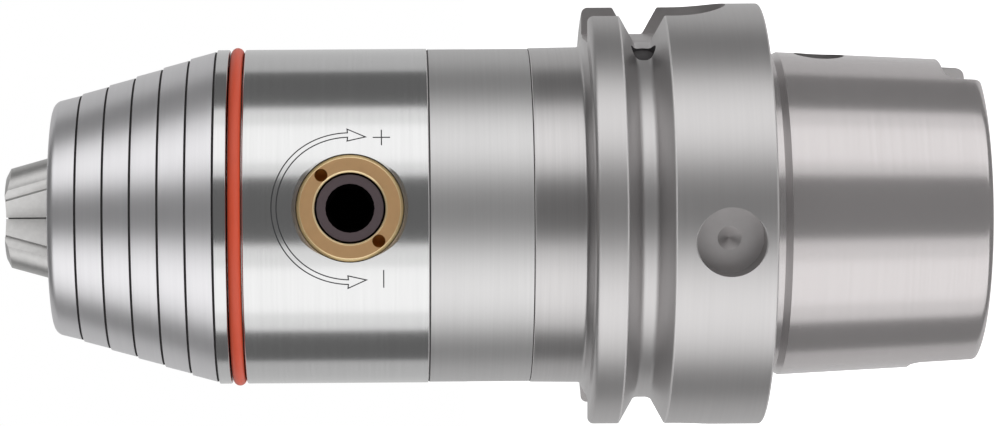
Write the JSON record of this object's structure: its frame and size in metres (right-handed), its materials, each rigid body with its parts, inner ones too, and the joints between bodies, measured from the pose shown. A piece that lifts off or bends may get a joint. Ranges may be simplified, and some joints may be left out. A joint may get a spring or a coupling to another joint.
{
  "type": "drill chuck",
  "caption": "Keyed drill chuck with three inclined jaws, a side bevel-pinion drive, a stepped nose and a hollow short-taper shank with flange.",
  "frame": {"origin": "centre of the shank's end face, on the spindle axis", "axes": "+Z along the spindle axis towards the nose; +X at the middle of the flange's narrow slot; -Y at the data bore"},
  "size_m": [0.063, 0.063, 0.1444],
  "materials": {
    "shank_steel": "hardened steel, finely turned and ground, satin",
    "ground_steel": "hardened steel, cylindrically ground, with a matte band at the rear",
    "nose_steel": "finely turned steel, satin",
    "jaw_steel": "hardened steel, ground faces",
    "inner_steel": "machined steel",
    "race_steel": "polished bearing steel",
    "black_steel": "black oxide steel",
    "bush_brass": "turned brass",
    "cage_brass": "plain brass",
    "orange_rubber": "moulded elastomer ring"
  },
  "bodies": {
    "body": {"hsk_adapter": "shank_steel", "housing": "ground_steel", "nose_cone": "nose_steel", "seal_ring": "orange_rubber", "pinion_bush": "bush_brass", "pinion_washer": "inner_steel", "bearing_plate": "inner_steel", "lower_race": "race_steel"},
    "drive": {"drive_nut": "inner_steel", "crown_gear": "inner_steel", "upper_race": "race_steel", "nut_lock_ring": "inner_steel"},
    "pinion": {"drive_pinion": "black_steel"},
    "carrier": {"jaw_carrier": "inner_steel"},
    "jaw_1": {"jaw_1": "jaw_steel"},
    "jaw_2": {"jaw_2": "jaw_steel"},
    "jaw_3": {"jaw_3": "jaw_steel"},
    "cage": {"ball_cage": "cage_brass", "ball_1": "race_steel", "ball_2": "race_steel", "ball_3": "race_steel", "ball_4": "race_steel", "ball_5": "race_steel", "ball_6": "race_steel", "ball_7": "race_steel", "ball_8": "race_steel", "ball_9": "race_steel", "ball_10": "race_steel"}
  },
  "joints": [
    {"name": "nut_turn", "type": "hinge", "parent": "body", "child": "drive", "pos_m": [0, 0, 0.085], "axis": [0, 0, 1], "range_deg": [0, 2379.7]},
    {"name": "pinion_turn", "type": "hinge", "parent": "body", "child": "pinion", "pos_m": [0, 0, 0.093], "axis": [0.1788, -0.9839, 0], "range_deg": [0, 7139.09]},
    {"name": "carrier_slide", "type": "slide", "parent": "body", "child": "carrier", "axis": [0, 0, -1], "range_m": [0, 0.01982]},
    {"name": "jaw_1_slide", "type": "slide", "parent": "body", "child": "jaw_1", "axis": [0.2778, -0.1151, -0.9537], "range_m": [0, 0.02079]},
    {"name": "jaw_2_slide", "type": "slide", "parent": "body", "child": "jaw_2", "axis": [-0.0392, 0.2981, -0.9537], "range_m": [0, 0.02079]},
    {"name": "jaw_3_slide", "type": "slide", "parent": "body", "child": "jaw_3", "axis": [-0.2386, -0.1831, -0.9537], "range_m": [0, 0.02079]},
    {"name": "cage_turn", "type": "hinge", "parent": "body", "child": "cage", "pos_m": [0, 0, 0.076], "axis": [0, 0, 1], "range_deg": [0, 1190.35]}
  ],
  "couplings": [
    {"joint": "nut_turn", "follows": "carrier_slide", "rad_per_m": 2094.4},
    {"joint": "pinion_turn", "follows": "carrier_slide", "rad_per_m": 6283.2},
    {"joint": "cage_turn", "follows": "carrier_slide", "rad_per_m": 1047.2},
    {"joint": "jaw_1_slide", "follows": "carrier_slide", "ratio": 1.0485},
    {"joint": "jaw_2_slide", "follows": "carrier_slide", "ratio": 1.0485},
    {"joint": "jaw_3_slide", "follows": "carrier_slide", "ratio": 1.0485}
  ]
}
